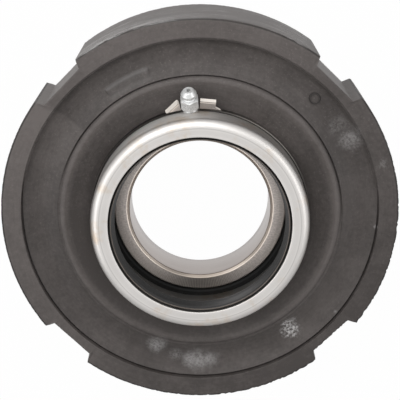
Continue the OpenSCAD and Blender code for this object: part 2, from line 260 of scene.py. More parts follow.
class Graph:
    """Adds nodes to a tree and links them."""

    def __init__(self, tree):
        self.tree = tree

    def add(self, kind, inputs=None, **settings):
        """A new node; an input is a value or the socket that feeds it."""
        node = self.tree.nodes.new(kind)
        for key, value in settings.items():
            setattr(node, key, value)
        for key, value in (inputs or {}).items():
            self.feed(node.inputs[key], value)
        return node

    def feed(self, socket, value):
        """Links a socket into an input, or sets the input's own value, with full alpha for a colour."""
        if isinstance(value, bpy.types.NodeSocket):
            self.tree.links.new(value, socket)
        elif socket.type == "RGBA":
            socket.default_value = (*value, 1.0)
        else:
            socket.default_value = value

    def math(self, operation, first, second=0.0, third=0.0):
        """Output of a Math node."""
        return self.add("ShaderNodeMath", {0: first, 1: second, 2: third}, operation=operation).outputs[0]

    def times(self, first, *others):
        """Product of two or more values."""
        for other in others:
            first = self.math("MULTIPLY", first, other)
        return first

    def scaled(self, value, factor, plus):
        """A value times a factor, and something added."""
        return self.math("MULTIPLY_ADD", value, factor, plus)

    def less(self, value, taken):
        """A value with another taken away."""
        return self.math("SUBTRACT", value, taken)

    def larger(self, first, second):
        """The larger of two values."""
        return self.math("MAXIMUM", first, second)

    def ramp(self, value, low, high):
        """A value that goes smoothly from nothing at low to one at high."""
        limits = {"Value": value, "From Min": low, "From Max": high}
        return self.add("ShaderNodeMapRange", limits, interpolation_type="SMOOTHSTEP").outputs["Result"]

    def mix(self, factor, first, second):
        """Colour between two colours."""
        sides = {"Factor": factor, "A": first, "B": second}
        return self.add("ShaderNodeMix", sides, data_type="RGBA").outputs["Result"]

    def noise(self, vector, scale, detail=4.0, roughness=0.55):
        """Grey value of a noise texture."""
        inputs = {"Vector": vector, "Scale": scale, "Detail": detail, "Roughness": roughness}
        return self.add("ShaderNodeTexNoise", inputs).outputs["Fac"]

    def patches(self, vector, scale, low, high, detail=4.0, roughness=0.55):
        """Soft patches of noise, from nothing where it is low to one where it is high."""
        return self.ramp(self.noise(vector, scale, detail, roughness), low, high)

    def vector(self, operation, first, second=(0.0, 0.0, 0.0)):
        """Outputs of a Vector Math node."""
        return self.add("ShaderNodeVectorMath", {0: first, 1: second}, operation=operation).outputs

    def stretched(self, vector, scale):
        """A vector with each of its parts multiplied."""
        return self.vector("MULTIPLY", vector, scale)["Vector"]

    def part(self, vector, letter):
        """The X, Y or Z of a vector."""
        return self.add("ShaderNodeSeparateXYZ", {"Vector": vector}).outputs[letter]

    def position(self):
        """Place on the object, in metres."""
        return self.add("ShaderNodeTexCoord").outputs["Object"]

    def group(self, name, **inputs):
        """Outputs of a shared node group with its own values; the group is built when it is first used."""
        if name not in GROUPS:
            GROUPS[name] = BUILDERS[name]()
        node = self.tree.nodes.new("ShaderNodeGroup")
        node.node_tree = GROUPS[name]
        for key, value in inputs.items():
            self.feed(node.inputs[key], value)
        return node.outputs

    def on_ring(self, radius, width):
        """One on a ring round the axis, nothing elsewhere."""
        return self.group("ring", Radius=radius, Width=width)["Mask"]

    def toward(self, degrees, power=1.0):
        """One on the side of the axis at an angle, nothing opposite; a higher power narrows it."""
        side = self.group("side", Way=polar(1.0, degrees))["Share"]
        return self.math("POWER", side, power)


class Finish(Graph):
    """A new material with one principled shader, and the graph that feeds it."""

    def __init__(self, name):
        self.material = bpy.data.materials.new(name)
        self.material.use_nodes = True
        super().__init__(self.material.node_tree)
        self.inputs = self.tree.nodes["Principled BSDF"].inputs

    def give(self, name, value):
        """Feeds an input of the shader."""
        self.feed(self.inputs[name], value)

    def base(self):
        """The socket that feeds the base colour so far."""
        return self.inputs["Base Color"].links[0].from_socket

    def bump(self, height, depth, strength):
        """Raises the surface by a depth where a height goes from nothing to one."""
        node = self.add("ShaderNodeBump", {"Height": height, "Distance": depth, "Strength": strength})
        self.give("Normal", node.outputs["Normal"])


def new_group(name, inputs, outputs):
    """An empty shader node group with named sockets: its graph, input sockets and output sockets."""
    tree = bpy.data.node_groups.new(name, "ShaderNodeTree")
    for label, kind, default in inputs:
        socket = tree.interface.new_socket(name=label, in_out="INPUT", socket_type=kind)
        socket.default_value = default
    for label, kind in outputs:
        tree.interface.new_socket(name=label, in_out="OUTPUT", socket_type=kind)
    graph = Graph(tree)
    return graph, graph.add("NodeGroupInput").outputs, graph.add("NodeGroupOutput").inputs


FLOAT = "NodeSocketFloat"
VECTOR = "NodeSocketVector"

# Length that stands for one radian where a texture is laid out round the axis
RADIAN_LENGTH = 4.0 * MM


def axis_distance_group():
    """Distance from the bearing's axis, the angle round it, and places along and around it."""
    graph, _, out = new_group(
        "Axis distance",
        [],
        [("Radius", FLOAT), ("Turn", FLOAT), ("Along", VECTOR), ("Around", VECTOR)],
    )
    split = graph.add("ShaderNodeSeparateXYZ", {"Vector": graph.position()}).outputs
    radius = graph.math("SQRT", graph.scaled(split["X"], split["X"], graph.math("POWER", split["Y"], 2)))
    turn = graph.math("ARCTAN2", split["Y"], split["X"])
    along = {"X": radius, "Y": split["Z"]}
    around = {"X": graph.times(turn, RADIAN_LENGTH), "Y": split["Z"], "Z": radius}
    graph.feed(out["Radius"], radius)
    graph.feed(out["Turn"], turn)
    graph.feed(out["Along"], graph.add("ShaderNodeCombineXYZ", along).outputs[0])
    graph.feed(out["Around"], graph.add("ShaderNodeCombineXYZ", around).outputs[0])
    return graph.tree


def turned_lines_group():
    """Fine rings left by turning or grinding round the axis."""
    graph, given, out = new_group(
        "Turned lines",
        [("Scale", FLOAT, 9000.0), ("Smear", FLOAT, 0.3)],
        [("Tone", FLOAT), ("Height", FLOAT)],
    )
    along = graph.group("axis")["Along"]
    rings = graph.noise(along, given["Scale"], detail=3.0)
    broad = graph.noise(along, graph.times(given["Scale"], 0.06), detail=2.0)
    patches = graph.noise(graph.position(), 60.0, detail=3.0)
    blend = graph.scaled(graph.less(patches, 0.5), given["Smear"], broad)
    graph.feed(out["Tone"], graph.scaled(rings, 0.4, graph.times(blend, 0.6)))
    graph.feed(out["Height"], rings)
    return graph.tree


def moulded_grain_group():
    """Skin of moulded rubber or sheet metal: fine grain and a cloudy tone."""
    graph, given, out = new_group(
        "Moulded grain",
        [("Grain", FLOAT, 2600.0), ("Clouds", FLOAT, 28.0)],
        [("Tone", FLOAT), ("Height", FLOAT)],
    )
    spot = graph.position()
    fine = graph.noise(spot, given["Grain"], detail=2.0)
    clouds = graph.noise(spot, given["Clouds"], detail=6.0, roughness=0.62)
    specks = graph.noise(spot, graph.times(given["Grain"], 0.25), detail=3.0)
    graph.feed(out["Tone"], graph.scaled(clouds, 0.65, graph.times(specks, 0.35)))
    graph.feed(out["Height"], graph.scaled(fine, 0.6, graph.times(specks, 0.4)))
    return graph.tree


def ring_mask_group():
    """One on a ring of a given radius and width, nothing elsewhere."""
    graph, given, out = new_group(
        "Ring mask", [("Radius", FLOAT, 0.05), ("Width", FLOAT, 0.002)], [("Mask", FLOAT)]
    )
    off = graph.math("ABSOLUTE", graph.less(graph.group("axis")["Radius"], given["Radius"]))
    outside = graph.ramp(graph.math("DIVIDE", off, given["Width"]), 0.0, 1.0)
    graph.feed(out["Mask"], graph.less(1.0, outside))
    return graph.tree


def chalk_patch_group():
    """A rubbed pale smudge about a centre, broken up by noise."""
    centre = ("Centre", VECTOR, (0.0, 0.0, 0.0))
    graph, given, out = new_group(
        "Chalk patch",
        [centre, ("Reach", FLOAT, 0.006), ("Scale", FLOAT, 700.0), ("Cover", FLOAT, 0.5)],
        [("Mask", FLOAT)],
    )
    spot = graph.position()
    away = graph.vector("DISTANCE", spot, given["Centre"])["Value"]
    wobble = graph.scaled(graph.noise(spot, 220.0), 1.2, 0.4)
    near = graph.ramp(graph.math("DIVIDE", away, graph.times(given["Reach"], wobble)), 1.0, 0.2)
    rubbed = graph.noise(spot, given["Scale"], detail=5.0, roughness=0.7)
    broken = graph.ramp(rubbed, graph.less(1.0, given["Cover"]), 0.68)
    graph.feed(out["Mask"], graph.times(near, broken))
    return graph.tree


def side_group():
    """From nothing on the far side of the axis to one on a way's side, and how far a face looks outward."""
    graph, given, out = new_group(
        "Side", [("Way", VECTOR, (0.0, 1.0, 0.0))], [("Share", FLOAT), ("Facing", FLOAT)]
    )
    flat = graph.stretched(graph.position(), (1.0, 1.0, 0.0))
    outward = graph.vector("NORMALIZE", flat)["Vector"]
    lean = graph.vector("DOT_PRODUCT", outward, given["Way"])["Value"]
    graph.feed(out["Share"], graph.scaled(lean, 0.5, 0.5))
    normal = graph.add("ShaderNodeTexCoord").outputs["Normal"]
    graph.feed(out["Facing"], graph.vector("DOT_PRODUCT", outward, normal)["Value"])
    return graph.tree


# Node groups that the materials share: those in use, and how each is built
GROUPS = {}
BUILDERS = {
    "axis": axis_distance_group,
    "turned": turned_lines_group,
    "grain": moulded_grain_group,
    "ring": ring_mask_group,
    "chalk": chalk_patch_group,
    "side": side_group,
}


def shaded(tint, part):
    """A colour darkened to a part of itself."""
    return tuple(part * c for c in tint)


# Finish of the cushion

# Pale smudges on the cushion's front: angle in degrees, radius and reach in mm, cover, grain and strength
SMUDGES = (
    (28.0, 69.6, 7.0, 0.74, 900.0, 0.38),
    (34.0, 68.0, 6.0, 0.68, 900.0, 0.20),
    (306.6, 65.6, 5.8, 0.58, 760.0, 2.2),
    (261.0, 65.5, 5.0, 0.72, 1100.0, 0.34),
    (266.8, 67.0, 6.0, 0.84, 1000.0, 0.56),
    (269.8, 67.4, 6.5, 0.84, 1000.0, 0.60),
    (272.8, 67.2, 6.0, 0.84, 1000.0, 0.56),
    (252.5, 63.2, 6.0, 0.76, 900.0, 0.50),
    (46.0, 68.9, 1.5, 0.85, 900.0, 0.5),
    (338.0, 64.5, 1.6, 0.75, 1400.0, 0.7),
    (323.0, 73.0, 1.5, 0.75, 1400.0, 0.6),
    (356.0, 74.2, 1.4, 0.75, 1400.0, 0.6),
    (17.0, 79.0, 4.0, 0.60, 900.0, 0.30),
)

# Angles between which a haze on the recess starts, and then fades
HAZE_EDGE = (math.radians(142.0), math.radians(143.5))
HAZE_FADE = (math.radians(146.0), math.radians(178.0))

# Sides of the bearing as angles in degrees: towards the nipple and away from it
UPPER_SIDE = 90.0
LOWER_SIDE = 270.0

# Sides on which the rim band is painted lighter as painted light, the rim band is rubbed and the rim's wall
# is chafed
LIT_BAND_SIDE = 140.0
RUBBED_SIDE = 15.0
CHAFED_SIDE = 114.0

# How far each part of the cushion goes from clean rubber to the worn colour; some of these shares are painted
# light and shade by side, as said at each
HUB_WEAR = 0.06
# Painted light: the hub lighter on its upper side
UPPER_HUB_LIGHT = 0.30
RECESS_WEAR = 0.22
# Painted shade: the recess darker on its upper side
UPPER_RECESS_SHADE = -0.28
BEAD_WEAR = 0.34
# Painted sheen on the bead's left and right sides
BEAD_SIDE_SHEEN = 1.3
BAND_WEAR = -0.33
# Painted light: the band lighter towards the upper left
LIT_BAND_LIGHT = 0.92
RUBBED_BAND_WEAR = 0.20
WALL_WEAR = -0.10

# How much wear each kind of mark adds
CLOUD_WEAR = 0.34
HAZE_WEAR = 0.24
STREAK_WEAR = 0.45
SCRATCH_WEAR = 0.16
SPECK_WEAR = 0.40
BLOTCH_WEAR = 0.14

# Mould flash on the rim's edge, and the painted shade line round the ejector's ring: colour and strength
FLASH_BLACK = (0.012, 0.011, 0.010)
FLASH_STRENGTH = 0.9
MOAT_SHADE = (0.015, 0.014, 0.013)
MOAT_SHADE_STRENGTH = 0.6

# Chalk on the scuffed wall, paleness on the pad and a painted highlight along the pad's outer edge
SCUFF_STRENGTH = 0.75
PAD_STRENGTH = 0.05
PAD_EDGE_HIGHLIGHT = 0.10


def cushion_zones(paint, cushion):
    """Masks of the cushion's parts, its upper side, and the streaks that run round it."""
    axis = paint.group("axis")
    radius = axis["Radius"]
    bead = cushion.bead_outside
    band = cushion.rim - cushion.band
    return SimpleNamespace(
        turn=axis["Turn"],
        radius=radius,
        height=paint.part(axis["Along"], "Y"),
        upper=paint.toward(UPPER_SIDE),
        bead=paint.on_ring(bead - 2.2 * MM, 3.4 * MM),
        recess=paint.ramp(radius, bead, bead + 1.5 * MM),
        band=paint.ramp(radius, band - 0.3 * MM, band + 0.3 * MM),
        wall=paint.ramp(radius, cushion.rim - 1.0 * MM, cushion.rim - 0.2 * MM),
        long_streaks=paint.noise(axis["Around"], 420.0, detail=6.0, roughness=0.7),
        short_streaks=paint.noise(axis["Around"], 1500.0, detail=6.0, roughness=0.75),
    )


def cushion_wear_and_light(paint, skin, zone):
    """How far the rubber goes to the worn colour: real wear and dust, and painted light and shade by side; a
    share for each part, and then the marks on it.
    """
    spot = paint.position()
    # The hub is painted lighter on its upper side, as painted light.
    wear_and_light = paint.scaled(paint.math("POWER", zone.upper, 4.0), UPPER_HUB_LIGHT, HUB_WEAR)
    # Share on the left and right sides, where the bead gets a painted sheen
    side_sheen = paint.times(zone.upper, paint.less(1.0, zone.upper))
    # The band's tone, painted lighter towards the upper left as painted light
    band_tone_and_light = paint.scaled(paint.toward(LIT_BAND_SIDE), LIT_BAND_LIGHT, BAND_WEAR)
    haze = paint.less(paint.ramp(zone.turn, *HAZE_EDGE), paint.ramp(zone.turn, *HAZE_FADE))
    slanted = {"Vector": spot, "Rotation": (0.0, 0.0, 0.7), "Scale": (1.0, 0.07, 0.3)}
    grazed = paint.add("ShaderNodeMapping", slanted).outputs[0]
    scratches = paint.patches(grazed, 900.0, 0.60, 0.74, detail=5.0, roughness=0.7)
    specks = paint.patches(spot, 1300.0, 0.60, 0.72, detail=3.0)
    blotches = paint.patches(spot, 150.0, 0.34, 0.66, detail=6.0, roughness=0.7)
    layers = (
        (zone.recess, RECESS_WEAR),
        # Painted shade on the recess's upper side
        (paint.times(zone.recess, zone.upper), UPPER_RECESS_SHADE),
        (zone.bead, paint.scaled(side_sheen, BEAD_SIDE_SHEEN, BEAD_WEAR)),
        (zone.band, paint.scaled(paint.toward(RUBBED_SIDE, 3.0), RUBBED_BAND_WEAR, band_tone_and_light)),
        (paint.less(paint.ramp(skin["Tone"], 0.34, 0.68), 0.5), CLOUD_WEAR),
        (paint.times(haze, zone.recess), HAZE_WEAR),
        (paint.less(zone.short_streaks, 0.5), STREAK_WEAR),
        (scratches, SCRATCH_WEAR),
        (specks, paint.times(zone.upper, SPECK_WEAR)),
        (paint.less(blotches, 0.6), BLOTCH_WEAR),
        (zone.wall, WALL_WEAR),
    )
    for mask, strength in layers:
        wear_and_light = paint.scaled(mask, strength, wear_and_light)
    return wear_and_light


def pad_paleness_and_highlight(paint, zone):
    """How pale the blank pad is painted, with a painted highlight along its outer edge."""
    first, last, inner, outer, _ = PAD
    fade = math.radians(1.2)
    begins = paint.ramp(zone.turn, math.radians(first) - fade, math.radians(first) + fade)
    ends = paint.ramp(zone.turn, math.radians(last) + fade, math.radians(last) - fade)
    inside = paint.ramp(zone.radius, inner - 0.6 * MM, inner + 0.6 * MM)
    across = paint.times(inside, paint.ramp(zone.radius, outer + 0.9 * MM, outer - 0.2 * MM))
    # Painted highlight along the pad's outer edge
    edge = paint.on_ring(outer + 0.1 * MM, 1.1 * MM)
    pale = paint.scaled(edge, PAD_EDGE_HIGHLIGHT, paint.times(across, PAD_STRENGTH))
    return paint.times(pale, begins, ends)


def ejector_moat_shade(paint, cushion):
    """One on a thin line round the ejector's ring, where a painted shade line goes; nothing elsewhere."""
    degrees, out, radius = PIP[:3]
    centre = polar(out, degrees, recess_middle(cushion))
    away = paint.vector("DISTANCE", paint.position(), centre)["Value"]
    return paint.ramp(paint.math("ABSOLUTE", paint.less(away, radius)), 0.45 * MM, 0.1 * MM)


def wall_scuffs(paint, cushion, zone):
    """White scuffs on the rim's wall: broken streaks on the upper side, and a chafed patch near the front."""
    long_marks = paint.ramp(zone.long_streaks, 0.45, 0.58)
    short_marks = paint.ramp(zone.short_streaks, 0.48, 0.62)
    rubbed = paint.patches(paint.position(), 30.0, 0.42, 0.60, detail=3.0)
    high = paint.scaled(paint.ramp(zone.upper, 0.55, 0.82), 0.9, 0.1)
    scuffs = paint.times(zone.wall, long_marks, short_marks, rubbed, high)
    front = paint.ramp(zone.height, 0.25 * cushion.half_width, 0.85 * cushion.half_width)
    torn = paint.ramp(zone.short_streaks, 0.46, 0.56)
    return paint.larger(scuffs, paint.times(zone.wall, paint.toward(CHAFED_SIDE, 30.0), front, torn))


def smudges(paint, height):
    """How much chalk lies on the front of the cushion, at a height."""
    chalk = 0.0
    for degrees, radius, reach, cover, grain, strength in SMUDGES:
        spot = polar(radius * MM, degrees, height)
        mask = paint.group("chalk", Centre=spot, Reach=reach * MM, Cover=cover, Scale=grain)["Mask"]
        chalk = paint.larger(chalk, paint.times(mask, strength))
    return chalk


def cushion_rubber(cushion):
    """Dark moulded rubber with cloudy dust, a scuffed rim and pale smudges; painted lighter and darker by
    side as painted light, with a painted sheen on the bead's sides, a painted shade line round the ejector's
    ring and a painted highlight on the pad's edge.
    """
    paint = Finish("cushion_rubber")
    skin = paint.group("grain")
    zone = cushion_zones(paint, cushion)
    flash = paint.on_ring(cushion.rim - 0.45 * MM, 0.6 * MM)
    flash = paint.times(flash, paint.ramp(zone.short_streaks, 0.32, 0.50), FLASH_STRENGTH)
    # Painted shade line round the ejector's ring
    moat_shade = paint.times(ejector_moat_shade(paint, cushion), MOAT_SHADE_STRENGTH)
    scuffs = paint.times(wall_scuffs(paint, cushion, zone), SCUFF_STRENGTH)
    # Clean rubber towards the worn colour, for real wear and dust and for painted light and shade
    base = paint.mix(cushion_wear_and_light(paint, skin, zone), cushion.rubber, cushion.wear_and_light)
    base = paint.mix(flash, base, FLASH_BLACK)
    base = paint.mix(moat_shade, base, MOAT_SHADE)
    # Chalk colour for the pad's paleness and painted highlight, the wall's scuffs and the smudges
    for mask in (pad_paleness_and_highlight(paint, zone), scuffs, smudges(paint, cushion.half_width - cushion.recess_depth)):
        base = paint.mix(mask, base, cushion.chalk)
    paint.give("Base Color", base)
    paint.give("Roughness", paint.scaled(skin["Tone"], 0.25, 0.42))
    paint.give("Specular IOR Level", 0.3)
    paint.bump(skin["Height"], 0.06 * MM, 0.7)
    return paint.material


# Finishes of the rings

# Share of each colour that is left in a warm stain
WARM_STAIN = (0.80, 0.68, 0.55)

# Side on which the outer ring's wall is dull, in degrees
NIPPLE_SIDE = 110.0

# Number of fine radial ticks round the inner ring's face, and their colours; they lie on the lower side,
# where their dark colours paint the face dark as a painted reflection of the dark seals
TICKS = 300.0
TICK_GAP = (0.012, 0.011, 0.010)
TICK_STEEL = (0.14, 0.125, 0.11)

# Brown on the inner ring's chamfer towards the lower side and on the line at the end of its bore
CHAMFER_BROWN = (0.1, 0.08, 0.06)
LINE_BROWN = (0.15, 0.10, 0.07)


def turned_steel(name, tint, lines, rough, smear=0.3, depth=0.004 * MM):
    """Bright steel with fine lines round the axis."""
    paint = Finish(name)
    marks = paint.group("turned", Scale=lines, Smear=smear)
    paint.give("Base Color", paint.mix(paint.ramp(marks["Tone"], 0.3, 0.7), shaded(tint, 0.82), tint))
    paint.give("Metallic", 1.0)
    paint.give("Roughness", paint.scaled(marks["Tone"], 0.16, rough - 0.08))
    paint.bump(marks["Height"], depth, 0.5)
    return paint


def outer_ring_steel(ring):
    """Turned steel with warm stains, a painted shade line where the rounding starts and a dull wall beside
    the nipple.
    """
    paint = turned_steel("ring_steel", ring.turned, lines=5200.0, rough=0.43)
    # Painted shade line where the rounding meets the flat face
    seam_shade = paint.on_ring(ring.outside - ring.corner, 0.3 * MM)
    base = paint.mix(paint.times(seam_shade, 0.35), paint.base(), shaded(ring.turned, 0.4))
    stains = paint.patches(paint.position(), 75.0, 0.50, 0.72, detail=5.0, roughness=0.65)
    warm = tuple(left * c for left, c in zip(WARM_STAIN, ring.turned))
    paint.give("Base Color", paint.mix(paint.times(stains, 0.8), base, warm))
    radius = paint.group("axis")["Radius"]
    wall = paint.ramp(radius, ring.outside - 0.3 * MM, ring.outside - 0.05 * MM)
    paint.give("Metallic", paint.less(1.0, paint.times(wall, paint.toward(NIPPLE_SIDE, 12.0))))
    return paint.material


def inner_ring_steel(ring):
    """Ground steel: a clean bore, chamfers painted lighter as a painted highlight and browner on the lower
    side, and duller end faces with fine radial marks, painted shade towards the shoulder and a dark painted
    reflection on the lower side.
    """
    paint = turned_steel("race_steel", ring.ground, 8200.0, 0.3, smear=0.5, depth=0.006 * MM)
    axis = paint.group("axis")
    radius = axis["Radius"]
    edge = ring.bore + ring.chamfer
    low = paint.toward(LOWER_SIDE, 12.0)
    face = paint.ramp(radius, edge + 0.2 * MM, edge + 0.5 * MM)
    rings = paint.ramp(paint.group("turned", Scale=2400.0, Smear=0.2)["Tone"], 0.35, 0.65)
    spokes = paint.stretched(axis["Around"], (1.0, 0.0, 0.05))
    marks = paint.patches(spokes, 16000.0, 0.35, 0.65, detail=1.0)
    shade = paint.scaled(marks, 0.5, paint.times(rings, 0.5))
    dark = paint.mix(shade, shaded(ring.face, 0.6), ring.face)
    # Painted shade on the face towards the shoulder, beside the seals
    fall = paint.times(paint.ramp(radius, edge, ring.shoulder), 0.56)
    dark = paint.mix(fall, dark, shaded(ring.face, 0.15))
    # Radial ticks on the lower side: real marks, in colours dark enough to paint the reflection of the dark
    # seals there
    ticks = paint.ramp(paint.math("SINE", paint.times(axis["Turn"], TICKS)), -0.4, 0.6)
    dark = paint.mix(paint.times(low, 0.85), dark, paint.mix(ticks, TICK_GAP, TICK_STEEL))
    # The chamfer painted lighter than the bore as a painted highlight, and browner on the lower side
    chamfer = paint.ramp(radius, ring.bore + 0.06 * MM, ring.bore + 0.2 * MM)
    bright = paint.mix(chamfer, paint.base(), ring.chamfer_highlight)
    bright = paint.mix(paint.times(low, chamfer, 0.65), bright, CHAMFER_BROWN)
    line = paint.on_ring(ring.bore + 0.12 * MM, 0.22 * MM)
    bright = paint.mix(paint.times(line, 0.75), bright, LINE_BROWN)
    paint.give("Base Color", paint.mix(face, bright, dark))
    paint.give("Metallic", paint.scaled(face, -0.75, 1.0))
    return paint.material


# Finishes of the seals, the sleeve and the small metal pieces

# Side on which the seal's lip carries the most painted sheen, in degrees, and the lip's colours: black
# rubber, painted sheen, painted highlight at its outer edge and painted glints
LIP_SHEEN_SIDE = 295.0
LIP_BLACK = (0.020, 0.020, 0.020)
LIP_SHEEN = (0.45, 0.44, 0.44)
LIP_EDGE_HIGHLIGHT = (0.34, 0.29, 0.25)
LIP_GLINT = (0.45, 0.45, 0.46)

# Side towards which the sleeve's edge is paler, and that of the tab painted bright as painted light, in
# degrees
EDGE_PALER_SIDE = 52.0
LIT_TAB_SIDE = 108.0

# Colours of the sleeve: sheet and its stains, the edge painted dark as painted shade and its paler tone, the
# tab painted bright as painted light, and the painted highlight on turned edges
SHEET_STEEL = (0.44, 0.40, 0.375)
SHEET_STAIN = (0.30, 0.265, 0.24)
EDGE_SHADE = (0.05, 0.046, 0.043)
EDGE_PALER = (0.24, 0.225, 0.21)
TAB_LIGHT = (0.84, 0.77, 0.71)
TURNED_EDGE_HIGHLIGHT = (0.90, 0.84, 0.77)


def grained(name, tint, second, reach, skin_scale, rough, depth, strength):
    """A finish that goes from one colour to a second with the skin's tone, and has the skin's grain."""
    paint = Finish(name)
    grain, clouds = skin_scale
    skin = paint.group("grain", Grain=grain, Clouds=clouds)
    paint.give("Base Color", paint.mix(paint.ramp(skin["Tone"], *reach), tint, second))
    paint.give("Roughness", paint.scaled(skin["Tone"], 0.2, rough - 0.1))
    paint.bump(skin["Height"], depth, strength)
    return paint


def plain_rubber(name, tint, rough):
    """Smooth black seal rubber with a little dust."""
    dusty = tuple(1.6 * c + 0.004 for c in tint)
    paint = grained(name, tint, dusty, (0.45, 0.75), (4000.0, 90.0), rough, 0.02 * MM, 0.5)
    paint.give("Specular IOR Level", 0.1)
    return paint


def bright_metal(name, tint, stain, rough, metallic=1.0):
    """Plated or plain sheet metal with faint stains."""
    paint = grained(name, tint, stain, (0.42, 0.72), (5000.0, 240.0), rough, 0.01 * MM, 0.6)
    paint.give("Metallic", metallic)
    return paint


def lip_rubber(lip_radius):
    """Black lip of a dust seal with a painted sheen in streaks along it, a painted highlight at its outer
    edge and faint painted glints.
    """
    paint = plain_rubber("lip_rubber", LIP_BLACK, 0.55)
    along = paint.stretched(paint.group("axis")["Around"], (0.05, 0.0, 1.0))
    streaks = paint.patches(along, 3200.0, 0.2, 0.75, detail=2.0)
    # Painted sheen in a ring along the lip, in streaks, strongest on one side
    edge = paint.on_ring(lip_radius - 0.3 * MM, 1.6 * MM)
    rubbed = paint.scaled(paint.toward(LIP_SHEEN_SIDE, 40.0), 2.8, edge)
    rubbed = paint.times(streaks, paint.scaled(rubbed, 0.10, 0.025))
    # Painted highlight at the lip's outer edge
    line = paint.on_ring(lip_radius - 0.12 * MM, 0.3 * MM)
    # Faint painted glints
    glints = paint.patches(paint.position(), 2600.0, 0.60, 0.72, detail=2.0)
    base = paint.mix(rubbed, paint.base(), LIP_SHEEN)
    base = paint.mix(paint.times(line, 0.8), base, LIP_EDGE_HIGHLIGHT)
    paint.give("Base Color", paint.mix(paint.times(glints, 0.16), base, LIP_GLINT))
    return paint.material


def sleeve_steel():
    """Dull sheet steel: its edge painted dark as painted shade, one tab painted bright as painted light, and
    a painted highlight where the tabs' edges are turned back.
    """
    paint = bright_metal("sleeve_steel", SHEET_STEEL, SHEET_STAIN, 0.5)
    radius = paint.group("axis")["Radius"]
    tab = paint.ramp(radius, SLEEVE_WALL + 0.1 * MM, SLEEVE_WALL + 0.5 * MM)
    # Painted highlight on the tabs' faces that look outward, where their edges are turned back
    turned = paint.times(tab, paint.ramp(paint.group("side")["Facing"], 0.05, 0.4))
    # The sleeve's edge, painted dark as painted shade, paler towards one side
    edge = paint.mix(paint.toward(EDGE_PALER_SIDE, 24.0), EDGE_SHADE, EDGE_PALER)
    # One tab painted bright as painted light
    base = paint.mix(paint.toward(LIT_TAB_SIDE, 120.0), paint.base(), TAB_LIGHT)
    base = paint.mix(tab, edge, base)
    paint.give("Base Color", paint.mix(turned, base, TURNED_EDGE_HIGHLIGHT))
    paint.give("Metallic", paint.scaled(tab, -0.85, 1.0))
    return paint.material


# Rubber cushion

# Angles of the four notches in the rim, in degrees, and their size
NOTCHES = (46.1, 135.4, 225.2, 316.0)
NOTCH_MOUTH = 25.0 * MM
NOTCH_DEPTH = 4.5 * MM
NOTCH_FLARE = 0.45

# Blank raised pad in the recess: first and last angle in degrees, inner and outer radius, rise
PAD = (108.7, 126.0, 60.6 * MM, 65.6 * MM, 1.1 * MM)

# Half of the angle over which the pad's ends rise, in degrees
PAD_SLOPE = 0.25

# Ring left by an ejector: angle in degrees, radius, outside radius, wall, rise and dip
PIP = (46.7, 68.2 * MM, 2.2 * MM, 0.6 * MM, 0.9 * MM, 0.35 * MM)

# Columns of the cushion: their number, and in degrees their step and their gap at the notches' corners
COLUMNS = 600
COLUMN_STEP = 0.6
CORNER_GAP = 0.06

# Steps of a section on the front and on the back: slope, bead, recess and inner edge of the band
FRONT_STEPS = (8, 14, 26, 4)
BACK_STEPS = (3, 6, 8, 2)

# Steps across the rim band, round its outer edge and down the wall
BAND_STEPS = 5
BEND_STEPS = 4
WALL_STEPS = 12

# How fast the wall swells back to its full radius between two ragged edges
WALL_SWELL = 1.6

# Where the crevice and the groove are open, in degrees: middle, half and fade; and what is left elsewhere
CREVICE_OPEN = (80.0, 62.0, 30.0, 0.08)
GROOVE_OPEN = (268.0, 85.0, 20.0, 0.1)

# How much wider the groove is where it is open
GROOVE_SPREAD = 1.3

# Fillet that fills the recess's outer edge where its groove is closed: width, and share of the step
FILLET = 2.6 * MM
FILLET_RISE = 0.8

# Angle at which the bead's round crest starts, in degrees
CREST_START = 125.0

# Side on which the rim's edge is most ragged, in degrees, and how ragged it is elsewhere
RAGGED_SIDE = 318.0
RAGGED_LEAST = 0.25


def wrapped(degrees):
    """An angle difference between minus and plus half a turn."""
    return (degrees + 180.0) % 360.0 - 180.0


def rim_radius(rim, degrees):
    """Radius of the rim at an angle, with the notches cut out."""
    for at in NOTCHES:
        off = abs(math.radians(wrapped(degrees - at)))
        lean = NOTCH_FLARE * math.cos(off) - math.sin(off)
        if lean <= 0.0:
            continue
        flank = (NOTCH_FLARE * rim - NOTCH_MOUTH / 2) / lean
        floor = (rim - NOTCH_DEPTH) / math.cos(off)
        if max(flank, floor) < rim:
            return max(flank, floor)
    return rim


def cushion_angles(rim):
    """Angles of the cushion's columns: an even fan, closer at the corners of the notches."""
    fan = {COLUMN_STEP * k for k in range(COLUMNS)}
    gap = CORNER_GAP
    corner = math.degrees(math.atan2(NOTCH_MOUTH / 2 - NOTCH_FLARE * NOTCH_DEPTH, rim - NOTCH_DEPTH))
    edge = math.degrees(math.asin(NOTCH_MOUTH / 2 / rim))
    for at in NOTCHES:
        for side in (-1, 1):
            for near in (corner - gap, corner + gap, edge - 2 * gap, edge, edge + gap):
                fan.add((at + side * near) % 360.0)
    for end in PAD[:2]:
        fan.update((end - PAD_SLOPE, end + PAD_SLOPE))
    return sorted(fan)


def smooth(low, high, value):
    """Smooth step from nothing at low to one at high."""
    t = min(1.0, max(0.0, (value - low) / (high - low)))
    return t * t * (3.0 - 2.0 * t)


def recess_edges(cushion):
    """Inner and outer radius of the recess."""
    return cushion.bead_outside + cushion.crevice, cushion.rim - cushion.band - cushion.groove_width


def recess_floor(cushion, radius):
    """Height of the dished recess at a radius."""
    inner, outer = recess_edges(cushion)
    along = (radius - inner) / (outer - inner)
    edge = cushion.recess_depth * (1.0 - along) + (cushion.band_fall + cushion.recess_step) * along
    return cushion.half_width - edge - cushion.recess_sag * math.sin(math.pi * along)


def recess_middle(cushion):
    """Height of the dished recess half way across it."""
    return recess_floor(cushion, sum(recess_edges(cushion)) / 2)


